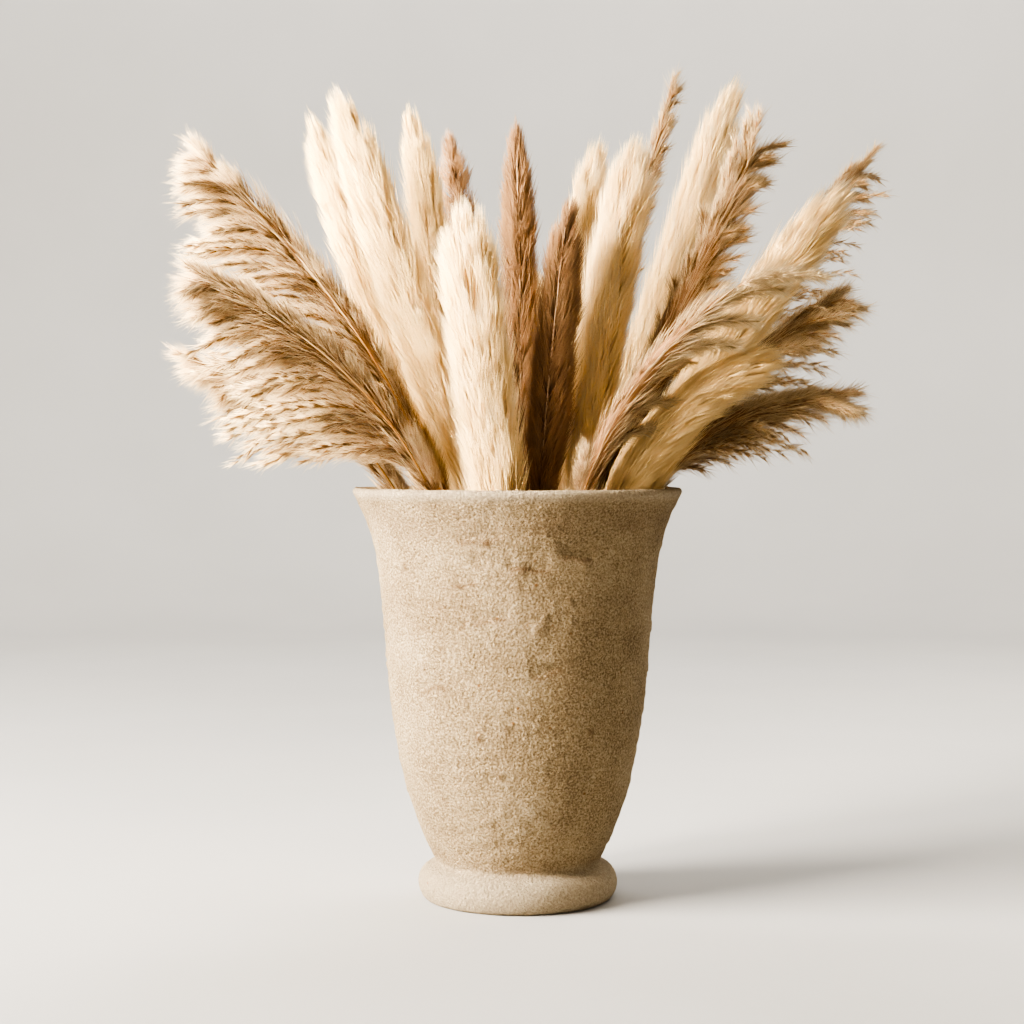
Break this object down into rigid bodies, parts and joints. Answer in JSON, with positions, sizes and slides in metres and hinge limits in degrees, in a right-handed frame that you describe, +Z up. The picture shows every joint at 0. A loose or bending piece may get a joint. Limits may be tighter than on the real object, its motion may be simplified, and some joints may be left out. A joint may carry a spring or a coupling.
{
  "type": "vase of dried flowers",
  "caption": "Footed stoneware vase with a flared lip, holding a fanned bunch of dried pampas, reed and foxtail plumes on thin stems.",
  "frame": {"origin": "centre of the vase's flat foot, on the surface it stands on", "axes": "+Z up along the vase's axis; the front of the bunch faces -Y; +X is to the right seen from the front"},
  "size_m": [0.382, 0.2582, 0.4485],
  "materials": {
    "stoneware": "matte",
    "dry_stem": "satin",
    "pampas_plume": "matte",
    "foxtail_plume": "matte",
    "reed_plume": "matte"
  },
  "bodies": {
    "root": {"vase": "stoneware", "reed_left_high_stem": "dry_stem", "reed_left_high_plume": "reed_plume", "reed_left_front_stem": "dry_stem", "reed_left_front_plume": "reed_plume", "reed_left_low_stem": "dry_stem", "reed_left_low_plume": "reed_plume", "pampas_left_outer_stem": "dry_stem", "pampas_left_outer_plume": "pampas_plume", "pampas_left_stem": "dry_stem", "pampas_left_plume": "pampas_plume", "pampas_back_left_stem": "dry_stem", "pampas_back_left_plume": "pampas_plume", "foxtail_back_left_stem": "dry_stem", "foxtail_back_left_plume": "foxtail_plume", "pampas_front_stem": "dry_stem", "pampas_front_plume": "pampas_plume", "foxtail_middle_stem": "dry_stem", "foxtail_middle_plume": "foxtail_plume", "foxtail_front_stem": "dry_stem", "foxtail_front_plume": "foxtail_plume", "pampas_back_stem": "dry_stem", "pampas_back_plume": "pampas_plume", "pampas_right_stem": "dry_stem", "pampas_right_plume": "pampas_plume", "reed_back_right_stem": "dry_stem", "reed_back_right_plume": "reed_plume", "pampas_right_tall_stem": "dry_stem", "pampas_right_tall_plume": "pampas_plume", "reed_right_stem": "dry_stem", "reed_right_plume": "reed_plume", "reed_right_back_stem": "dry_stem", "reed_right_back_plume": "reed_plume", "pampas_right_outer_stem": "dry_stem", "pampas_right_outer_plume": "pampas_plume", "reed_right_middle_stem": "dry_stem", "reed_right_middle_plume": "reed_plume", "reed_right_low_stem": "dry_stem", "reed_right_low_plume": "reed_plume", "pampas_right_low_stem": "dry_stem", "pampas_right_low_plume": "pampas_plume", "reed_front_right_stem": "dry_stem", "reed_front_right_plume": "reed_plume", "pampas_behind_stem": "dry_stem", "pampas_behind_plume": "pampas_plume", "reed_behind_left_stem": "dry_stem", "reed_behind_left_plume": "reed_plume", "foxtail_behind_right_stem": "dry_stem", "foxtail_behind_right_plume": "foxtail_plume"}
  },
  "joints": []
}
